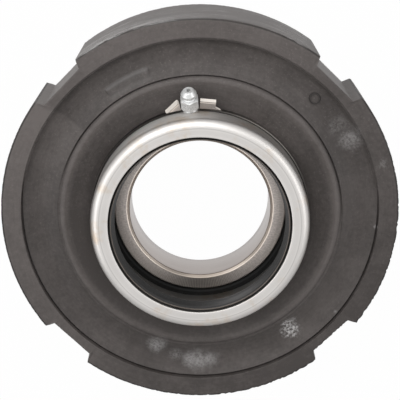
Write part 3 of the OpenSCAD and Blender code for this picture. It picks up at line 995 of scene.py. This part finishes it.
def pad_height(cushion, degrees, radius):
    """How far the blank pad lifts the surface at a place on the front."""
    first, last, inner, outer, rise = PAD
    near, far = 0.1 * MM, 0.4 * MM
    lift = max(0.0, recess_middle(cushion) + rise - recess_floor(cushion, radius))
    across = smooth(inner - near, inner + far, radius) * smooth(outer + near, outer - far, radius)
    begins = smooth(first - PAD_SLOPE, first + PAD_SLOPE, degrees)
    return lift * across * begins * smooth(last + PAD_SLOPE, last - PAD_SLOPE, degrees)


def spread(low, high, steps):
    """Even values from low up to, but not including, high."""
    return [low + (high - low) * k / steps for k in range(steps)]


def opening(degrees, middle, half, fade, least):
    """One within half an angle of the middle, falling to the least over a further fade."""
    return least + (1.0 - least) * (1.0 - smooth(half, half + fade, abs(wrapped(degrees - middle))))


def cushion_front(cushion, degrees, slope_steps, crest_steps, recess_steps, edge_steps):
    """Front of the cushion's section at an angle, from the sleeve out to the inner edge of the rim band."""
    top = cushion.half_width
    crevice_open = opening(degrees, *CREVICE_OPEN)
    groove_open = opening(degrees, *GROOVE_OPEN)
    bead = (cushion.bead_outside - cushion.bead_round, top - cushion.bead_depth - cushion.bead_round)
    inner = cushion.bead_outside + cushion.crevice
    band = cushion.rim - cushion.band
    outer = band - cushion.groove_width * (1.0 + GROOVE_SPREAD * groove_open)
    crevice = top - cushion.recess_depth - cushion.crevice_depth * crevice_open
    crest_end = math.degrees(math.asin((crevice - bead[1]) / cushion.bead_round))
    crest = arc(bead, cushion.bead_round, CREST_START, crest_end, crest_steps)
    hub = (cushion.hub, top - cushion.hub_depth)
    rise = (crest[0][1] - hub[1]) / (crest[0][0] - hub[0])
    slope = [(r, hub[1] + rise * (r - hub[0])) for r in spread(hub[0], crest[0][0], slope_steps)]
    soft = 0.1 * MM
    fill = (1.0 - groove_open) * FILLET_RISE * cushion.recess_step
    recess = [(inner, crevice), (inner, recess_floor(cushion, inner) - soft)]
    for r in spread(inner + soft, outer - soft, recess_steps):
        climb = max(0.0, 1.0 - (outer - r) / FILLET)
        recess.append((r, recess_floor(cushion, r) + fill * climb * climb))
    groove = recess_floor(cushion, outer) - cushion.groove_depth * groove_open + fill
    channel = [
        (outer - soft, recess_floor(cushion, outer - soft) + fill),
        (outer, recess_floor(cushion, outer) - soft + fill),
        (outer, groove),
        (band, groove),
    ]
    corner = (band + cushion.edge_round, top - cushion.band_fall - cushion.edge_round)
    return slope + crest + recess + channel + arc(corner, cushion.edge_round, 180.0, 90.0, edge_steps)


def raggedness(cushion, degrees, level):
    """How much of the rim's edge is missing at an angle: most on the ragged side, in broad and fine bites."""
    seat = Vector(polar(1.0, degrees, level))
    toward = smooth(0.1, 0.9, math.cos(math.radians(degrees - RAGGED_SIDE)))
    broad = 0.5 + 0.5 * noise.noise(seat * 9.0)
    fine = smooth(0.05, 0.5, abs(noise.noise(seat * 85.0)))
    return cushion.ragged * (RAGGED_LEAST + (1.0 - RAGGED_LEAST) * toward) * (0.35 * broad + 0.65 * fine)


def cushion_column(cushion, degrees):
    """One radial section of the cushion at an angle, front face first and back face last."""
    top = cushion.half_width
    band = cushion.rim - cushion.band + cushion.edge_round
    rim = rim_radius(cushion.rim, degrees)
    halves = []
    for side, steps in ((1, FRONT_STEPS), (-1, BACK_STEPS)):
        face = []
        for radius, height in cushion_front(cushion, degrees, *steps):
            lift = pad_height(cushion, degrees, radius) if side > 0 else 0.0
            face.append((radius, side * (height + lift)))
        torn = raggedness(cushion, degrees, side)
        edge = rim - torn
        corner = cushion.edge_round + 0.5 * torn
        for k in range(1, BAND_STEPS):
            fall = cushion.band_fall * (1.0 - k / BAND_STEPS)
            face.append((band + (edge - corner - band) * k / BAND_STEPS, side * (top - fall)))
        bend = arc((edge - corner, top - corner), corner, 90.0, 0.0, BEND_STEPS)
        halves.append(face + [(radius, side * height) for radius, height in bend])
    front_half, back_half = halves
    wall = []
    high, low = front_half[-1], back_half[-1]
    for k in range(1, WALL_STEPS):
        part = k / WALL_STEPS
        bow = 4.0 * part * (1.0 - part)
        radius = high[0] + (low[0] - high[0]) * part
        out = (rim - radius) * min(1.0, WALL_SWELL * bow)
        wall.append((radius + out, high[1] + (low[1] - high[1]) * part))
    return front_half + wall + back_half[::-1]


def pip_shell(cushion, segments=48):
    """The ejector's ring as points and faces: a low wall with a shallow dip inside."""
    degrees, out, radius, wall, rise, dip = PIP
    x, y, middle = polar(out, degrees, recess_middle(cushion))
    foot = middle - MM
    top = middle + rise
    soft = 0.12 * MM
    outline = [
        (radius, foot), (radius, top - soft), (radius - soft, top), (radius - wall + soft, top),
        (radius - wall, top - soft), (radius - wall - soft, top - dip),
    ]
    count = len(outline)
    verts = [(x, y, foot), (x, y, top - dip)]
    for i in range(segments):
        turn = math.tau * i / segments
        verts += [(x + r * math.cos(turn), y + r * math.sin(turn), z) for r, z in outline]
    faces = []
    for i in range(segments):
        here = 2 + i * count
        there = 2 + (i + 1) % segments * count
        faces += [(here + k, there + k, there + k + 1, here + k + 1) for k in range(count - 1)]
        faces += [(0, there, here), (1, here + count - 1, there + count - 1)]
    return verts, faces


def cushion_mesh(cushion):
    """The whole cushion as a fan of sections, with the ejector's ring on it."""
    verts = []
    angles = cushion_angles(cushion.rim)
    for degrees in angles:
        verts += [polar(r, degrees, z) for r, z in cushion_column(cushion, degrees)]
    faces = fan_faces(len(angles), len(verts) // len(angles))
    pip_verts, pip_faces = pip_shell(cushion)
    start = len(verts)
    verts += pip_verts
    faces += [tuple(start + k for k in face) for face in pip_faces]
    return mesh_object("cushion_moulding", verts, faces, sharp_degrees=40.0)


class BEARING_OT_cushion(bpy.types.Operator):
    """Build the moulded rubber cushion with its notches, groove and bead"""

    bl_idname = "bearing.cushion"
    bl_label = "Rubber cushion"

    def execute(self, context):
        cushion = context.scene.bearing_cushion
        rubber = cushion_rubber(cushion)
        place(cushion_mesh(cushion), "cushion_body", "cushion_rubber", rubber, "rubber_cushion")
        return {"FINISHED"}


# Bearing rings

def ring_end(ring, end):
    """Section of the outer ring towards one end, from the grease space round to the outside."""
    lead = 0.5 * MM
    soft = 0.15 * MM
    corner = ring.outside - ring.corner
    outline = [
        (ring.cavity, end - ring.mouth_depth),
        (ring.mouth, end - ring.mouth_depth),
        (ring.mouth, end - lead),
        (ring.mouth + soft, end - soft),
        (ring.mouth + lead, end),
        (ring.mouth + lead + soft, end),
        (corner - soft, end),
    ]
    return outline + arc((corner, end - ring.corner), ring.corner, 90.0, 0.0, 16)


def outer_ring_outline(ring):
    """Section of the wide outer ring, with its raceway as a shallow curve."""
    deep = ring.cavity + ring.race_depth
    race = [
        (deep, 0.0),
        (deep - 0.3 * MM, 0.35 * ring.race_half),
        (ring.cavity + 0.6 * ring.race_depth, 0.75 * ring.race_half),
        (ring.cavity, ring.race_half),
    ]
    return race + ring_end(ring, ring.front) + mirrored(race[1:] + ring_end(ring, ring.rear))


def inner_ring_outline(ring):
    """Section of the inner ring, from the bore out to the shoulders."""
    end = ring.inner_half
    soft = 0.1 * MM
    edge = ring.bore + ring.chamfer
    floor = ring.shoulder - ring.race_depth
    front = [
        (ring.bore, end - ring.chamfer - soft),
        (ring.bore + 0.3 * soft, end - ring.chamfer),
        (ring.bore + 2.0 * soft, end - ring.chamfer + 1.7 * soft),
        (edge - soft, end - 1.3 * soft),
        (edge, end - 0.3 * soft),
        (edge + soft, end),
        (edge + 3.0 * soft, end),
        (ring.shoulder - 7.0 * soft, end),
        (ring.shoulder - 5.0 * soft, end),
        (ring.shoulder, end - 5.0 * soft),
        (ring.shoulder, ring.race_half),
        (floor + 3.0 * soft, 0.35 * ring.race_half),
        (floor, 0.0),
    ]
    return front + mirrored(front[:-1])


class BEARING_OT_rings(bpy.types.Operator):
    """Turn the outer and the inner ring"""

    bl_idname = "bearing.rings"
    bl_label = "Bearing rings"

    def execute(self, context):
        ring = context.scene.bearing_rings
        outer = revolve("outer_ring_turned", outer_ring_outline(ring))
        inner = revolve("inner_ring_ground", inner_ring_outline(ring))
        place(outer, "cushion_body", "ring_steel", outer_ring_steel(ring), "outer_ring")
        place(inner, "inner_body", "race_steel", inner_ring_steel(ring), "inner_ring")
        return {"FINISHED"}


# Seals, sleeve, nipple and the pieces inside

class BEARING_OT_seals(bpy.types.Operator):
    """Finish the bearing seals and the dust seals"""

    bl_idname = "bearing.seals"
    bl_label = "Seals"

    def execute(self, context):
        # The bearing seals' rubber is near black, as painted shade of the deep gap behind the lips.
        black = plain_rubber("seal_rubber", (0.004, 0.004, 0.004), 0.5).material
        grey = lip_rubber(LIP_BOX[1].x)
        # The dust seals' cases are near-black steel, as painted shade of the gap at the ring's mouth.
        case = bright_metal("case_steel", (0.05, 0.048, 0.046), (0.03, 0.027, 0.025), 0.5).material
        for end in ("front", "rear"):
            dress(f"{end}_bearing_seal", black)
            dress(f"{end}_dust_lip", grey)
            dress(f"{end}_dust_case", case)
        return {"FINISHED"}


class BEARING_OT_sleeve(bpy.types.Operator):
    """Finish the steel sleeve with its turned-up tabs"""

    bl_idname = "bearing.sleeve"
    bl_label = "Cushion sleeve"

    def execute(self, context):
        dress("cushion_sleeve", sleeve_steel())
        return {"FINISHED"}


class BEARING_OT_nipple(bpy.types.Operator):
    """Finish the grease nipple with its valve"""

    bl_idname = "bearing.nipple"
    bl_label = "Grease nipple"

    def execute(self, context):
        zinc = bright_metal("nipple_zinc", (0.84, 0.85, 0.85), (0.68, 0.675, 0.66), 0.28, metallic=0.32)
        # The check ball is near black, as painted shade inside the nipple's hole.
        ball = bright_metal("check_steel", (0.10, 0.10, 0.11), (0.05, 0.05, 0.05), 0.4)
        dress("grease_nipple", zinc.material)
        dress("nipple_check_ball", ball.material)
        return {"FINISHED"}


def valve_spring(material):
    """The nipple's spring as a piece of its own, with a mesh of its own."""
    mesh = frame["nodes"]["nipple_spring"].data.copy()
    spring = bpy.data.objects.new("valve_spring", mesh)
    bpy.context.scene.collection.objects.link(spring)
    place(spring, "cushion_body", "cage_steel", material, "nipple_spring")
    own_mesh(spring)


class BEARING_OT_rolling(bpy.types.Operator):
    """Finish the balls, the cage and the valve's spring"""

    bl_idname = "bearing.rolling"
    bl_label = "Balls and cage"

    def execute(self, context):
        polished = bright_metal("ball_steel", (0.8, 0.8, 0.81), (0.72, 0.72, 0.73), 0.16).material
        pressed = bright_metal("cage_steel", (0.6, 0.57, 0.52), (0.42, 0.38, 0.33), 0.4).material
        for node in frame["nodes"]:
            if node.startswith("ball_"):
                dress(node, polished)
        for node in ("cage_front", "cage_rear", "cage_rivets"):
            dress(node, pressed)
        valve_spring(pressed)
        return {"FINISHED"}


# Stage

# Width of the camera's sensor in millimetres, and the nearest distance that it sees
SENSOR = 36.0
NEAREST = 0.01

# Lamps that point at the bearing's centre: name, place, width and height, and the setting for the power
LAMPS = (
    ("key_lamp", (-0.25, 0.66, 0.75), (1.2, 0.9), "key_power"),
    ("left_lamp", (-0.85, -0.15, 0.62), (0.9, 0.45), "left_power"),
    ("right_lamp", (0.80, 0.12, 0.62), (1.1, 0.4), "right_power"),
)

WHITE = (1.0, 1.0, 1.0)
FLOOR_GREY = (0.88, 0.88, 0.88)

# Height at which polished metal sees the room at its full brightness, as part of a unit vector
BRIGHT_ABOVE = 0.8


def add_camera(stage, front_plane):
    """Camera that looks down on the bearing's front, with the nipple towards the top of the picture."""
    back = Vector((0.0, math.sin(stage.lean), math.cos(stage.lean)))
    spot = Vector((0.0, 0.0, front_plane)) + stage.distance * back
    gaze = (Vector((0.0, stage.aim, front_plane)) - spot).normalized()
    right = Vector((1.0, 0.0, 0.0))
    up = right.cross(gaze)
    data = bpy.data.cameras.new("studio_camera")
    data.lens = stage.lens
    data.sensor_width = SENSOR
    data.clip_start = NEAREST
    camera = bpy.data.objects.new("studio_camera", data)
    camera.matrix_world = Matrix((right, up, -gaze)).transposed().to_4x4()
    camera.location = spot
    bpy.context.scene.collection.objects.link(camera)
    bpy.context.scene.camera = camera


def add_lamp(name, spot, size, power):
    """Soft lamp, given its width and height, that points at the bearing's centre."""
    data = bpy.data.lights.new(name, "AREA")
    data.shape = "RECTANGLE"
    data.size, data.size_y = size
    data.energy = power
    lamp = bpy.data.objects.new(name, data)
    lamp.location = spot
    lamp.rotation_euler = (-Vector(spot)).to_track_quat("-Z", "Y").to_euler()
    bpy.context.scene.collection.objects.link(lamp)


def floor_material(glow):
    """Matt pale floor that shows as almost plain white to the camera, in metal and through glass."""
    material = bpy.data.materials.new("studio_floor")
    material.use_nodes = True
    material.node_tree.nodes.clear()
    graph = Graph(material.node_tree)
    path = graph.add("ShaderNodeLightPath").outputs
    seen = graph.larger(path["Is Camera Ray"], path["Is Glossy Ray"])
    shown = graph.times(graph.larger(seen, path["Is Transmission Ray"]), glow)
    matt = graph.add("ShaderNodeBsdfDiffuse", {"Color": FLOOR_GREY})
    white = graph.add("ShaderNodeEmission", {"Color": WHITE, "Strength": 1.0})
    both = graph.add("ShaderNodeMixShader", {0: shown, 1: matt.outputs[0], 2: white.outputs[0]})
    graph.add("ShaderNodeOutputMaterial", {"Surface": both.outputs[0]})
    return material


def light_room(ambient, horizon):
    """White room: plain white to the camera, dim on matt surfaces, and darker low down in polished metal."""
    world = bpy.data.worlds.new("studio_room")
    bpy.context.scene.world = world
    world.use_nodes = True
    graph = Graph(world.node_tree)
    path = graph.add("ShaderNodeLightPath").outputs
    way = graph.add("ShaderNodeTexCoord").outputs["Generated"]
    height = graph.ramp(graph.part(way, "Z"), 0.0, BRIGHT_ABOVE)
    reflected = graph.times(path["Is Glossy Ray"], graph.scaled(height, 1.0 - horizon, horizon))
    seen = graph.larger(path["Is Camera Ray"], path["Is Transmission Ray"])
    matt = graph.less(1.0, graph.larger(seen, path["Is Glossy Ray"]))
    background = world.node_tree.nodes["Background"]
    graph.feed(background.inputs["Color"], WHITE)
    graph.feed(background.inputs["Strength"], graph.scaled(matt, ambient, graph.larger(seen, reflected)))


class BEARING_OT_stage(bpy.types.Operator):
    """Set up the camera, the lamps and the pale floor"""

    bl_idname = "bearing.stage"
    bl_label = "Studio"

    def execute(self, context):
        stage = context.scene.bearing_stage
        half = stage.floor_size / 2
        ground = CAD_BOX[0][2]
        corners = [(-half, -half, ground), (half, -half, ground), (half, half, ground), (-half, half, ground)]
        floor = mesh_object("studio_floor", corners, [(0, 1, 2, 3)])
        floor.data.materials.append(floor_material(stage.floor_glow))
        add_camera(stage, CUSHION_BOX[1].z)
        for name, spot, size, power in LAMPS:
            add_lamp(name, spot, size, getattr(stage, power))
        light_room(stage.ambient, stage.horizon)
        context.scene.view_settings.view_transform = "Standard"
        return {"FINISHED"}


class BEARING_PT_panel(bpy.types.Panel):
    """Lists the steps that build the bearing"""

    bl_idname = "BEARING_PT_panel"
    bl_label = "Centre bearing"
    bl_space_type = "VIEW_3D"
    bl_region_type = "UI"
    bl_category = "Centre bearing"

    def draw(self, context):
        for step in STEPS:
            self.layout.operator(step.bl_idname)


STEPS = (
    BEARING_OT_cushion,
    BEARING_OT_rings,
    BEARING_OT_seals,
    BEARING_OT_sleeve,
    BEARING_OT_nipple,
    BEARING_OT_rolling,
    BEARING_OT_stage,
)
SETTINGS = {
    "bearing_cushion": CushionSettings,
    "bearing_rings": RingSettings,
    "bearing_stage": StageSettings,
}


def register():
    """Adds the classes and hangs the settings on the scene."""
    for kind in (*SETTINGS.values(), *STEPS, BEARING_PT_panel):
        bpy.utils.register_class(kind)
    for name, kind in SETTINGS.items():
        setattr(bpy.types.Scene, name, bpy.props.PointerProperty(type=kind))


def unregister():
    """Takes the settings and the classes away again."""
    for name in SETTINGS:
        delattr(bpy.types.Scene, name)
    for kind in (BEARING_PT_panel, *STEPS[::-1], *SETTINGS.values()):
        bpy.utils.unregister_class(kind)


def main():
    """Builds everything in order."""
    register()
    bpy.ops.bearing.cushion()
    bpy.ops.bearing.rings()
    bpy.ops.bearing.seals()
    bpy.ops.bearing.sleeve()
    bpy.ops.bearing.nipple()
    bpy.ops.bearing.rolling()
    bpy.ops.bearing.stage()


if __name__ == "__main__":
    main()
